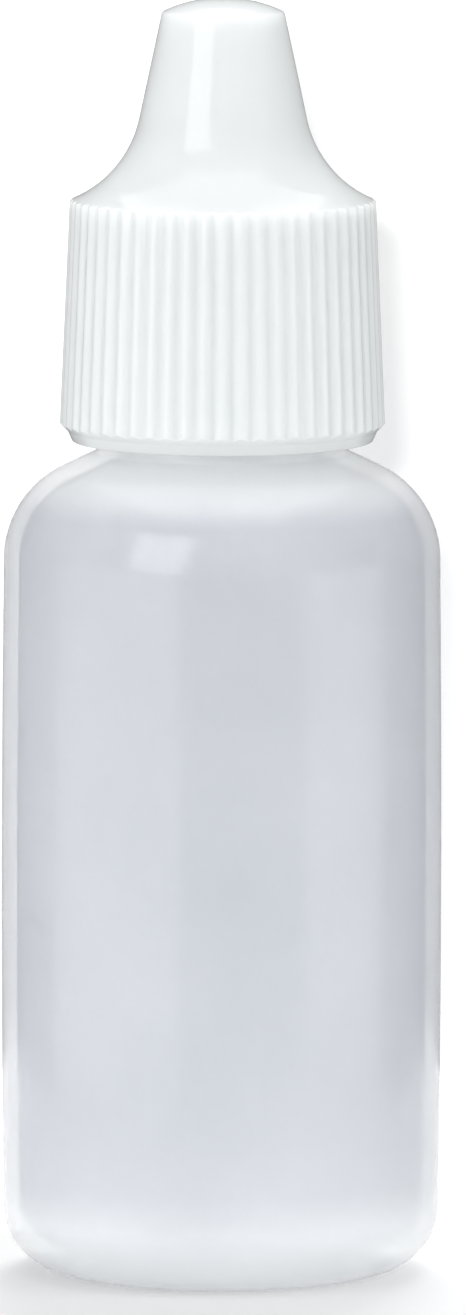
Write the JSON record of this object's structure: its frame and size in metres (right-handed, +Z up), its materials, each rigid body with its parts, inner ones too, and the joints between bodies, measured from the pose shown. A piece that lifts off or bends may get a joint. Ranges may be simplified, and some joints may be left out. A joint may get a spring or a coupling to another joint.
{
  "type": "needle tip applicator bottle",
  "caption": "Small round squeeze bottle with a press-in needle tip and a tall ribbed screw cap that covers the needle and clears it with a pin.",
  "frame": {"origin": "on the bottle's axis, at the level of the foot ring that it stands on", "axes": "+Z up along the axis from the foot to the cap's crown; X and Y are alike, because every piece is round, and the picture looks along +Y"},
  "size_m": [0.0256, 0.0256, 0.0741],
  "materials": {
    "natural_polyethylene": "natural low-density polyethylene, blown, milky and see-through, with a soft satin shine",
    "plug_polyethylene": "natural low-density polyethylene, moulded, milky",
    "stainless_steel": "drawn stainless steel tube and wire",
    "white_polypropylene": "white polypropylene, moulded, glossy"
  },
  "bodies": {
    "bottle": {"bottle": "natural_polyethylene"},
    "tip": {"tip_plug": "plug_polyethylene", "needle": "stainless_steel"},
    "pin": {"needle_pin": "stainless_steel"},
    "cap": {"cap": "white_polypropylene"}
  },
  "joints": [
    {"name": "tip_pull", "type": "slide", "parent": "bottle", "child": "tip", "axis": [0, 0, 1], "range_m": [0, 0.018]},
    {"name": "cap_rise", "type": "slide", "parent": "tip", "child": "pin", "axis": [0, 0, 1], "range_m": [0, 0.0254]},
    {"name": "cap_turn", "type": "hinge", "parent": "pin", "child": "cap", "pos_m": [0, 0, 0.06], "axis": [0, 0, 1], "range_deg": [0, 4320]}
  ],
  "couplings": [
    {"joint": "cap_turn", "follows": "cap_rise", "rad_per_m": 2968.4}
  ]
}
